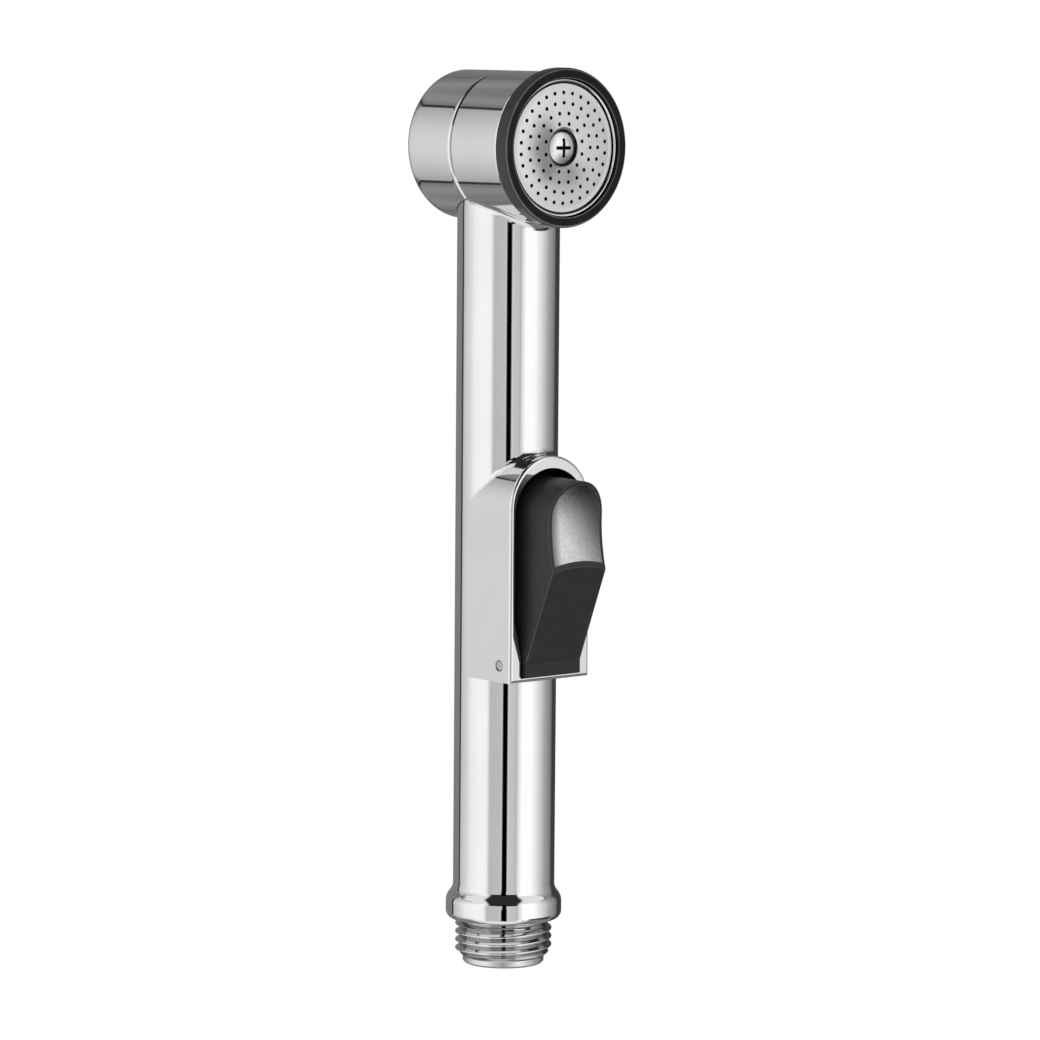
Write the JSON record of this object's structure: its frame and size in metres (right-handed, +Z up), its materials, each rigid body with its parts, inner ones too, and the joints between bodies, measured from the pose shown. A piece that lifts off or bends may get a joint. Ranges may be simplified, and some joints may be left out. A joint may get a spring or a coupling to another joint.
{
  "type": "handheld bidet shower",
  "caption": "Chromed tubular hand shower for a bidet, with a thumb lever low on the handle, a crosswise spray head with a pierced round plate, and a male hose thread at its foot.",
  "frame": {"origin": "centre of the end face of the inlet nipple, where the hose washer seats", "axes": "+Z up along the handle, away from the hose; -Y the way the spray plate and the lever face; +X to the right of somebody who looks at the spray plate"},
  "size_m": [0.0337, 0.0401, 0.1935],
  "materials": {
    "chrome": "mirror-bright plating",
    "black_rubber": "matt",
    "brass": "turned",
    "bright_steel": "drawn",
    "black_plastic": "satin moulded",
    "satin_silver": "fine satin",
    "satin_steel": "fine satin"
  },
  "bodies": {
    "handset": {"handle_body": "chrome", "rear_cap": "chrome", "inlet_nipple": "chrome", "nipple_o_ring": "black_rubber", "gland_nut": "brass", "valve_cartridge": "brass", "cartridge_o_ring_front": "black_rubber", "cartridge_o_ring_rear": "black_rubber", "stem_o_ring": "black_rubber", "valve_spring": "bright_steel", "pivot_pin": "bright_steel", "water_distributor": "black_plastic", "insert_o_ring": "black_rubber", "bezel_ring": "black_plastic", "trim_ring": "chrome", "plate_gasket": "black_rubber", "spray_plate": "satin_steel", "centre_screw": "satin_steel"},
    "lever": {"lever": "black_plastic", "thumb_pad": "satin_silver"},
    "stem": {"valve_stem": "brass", "valve_plug": "black_rubber"}
  },
  "joints": [
    {"name": "lever_press", "type": "hinge", "parent": "handset", "child": "lever", "pos_m": [0, -0.01105, 0.06685], "axis": [-1, 0, 0], "range_deg": [0, 7], "stiffness_Nm_per_rad": 0.1, "springref_deg": -22.92},
    {"name": "stem_slide", "type": "slide", "parent": "handset", "child": "stem", "axis": [0, 1, 0], "range_m": [0, 0.003], "deforming": ["valve_spring"]}
  ],
  "couplings": [
    {"joint": "stem_slide", "follows": "lever_press", "m_per_rad": 0.02}
  ]
}
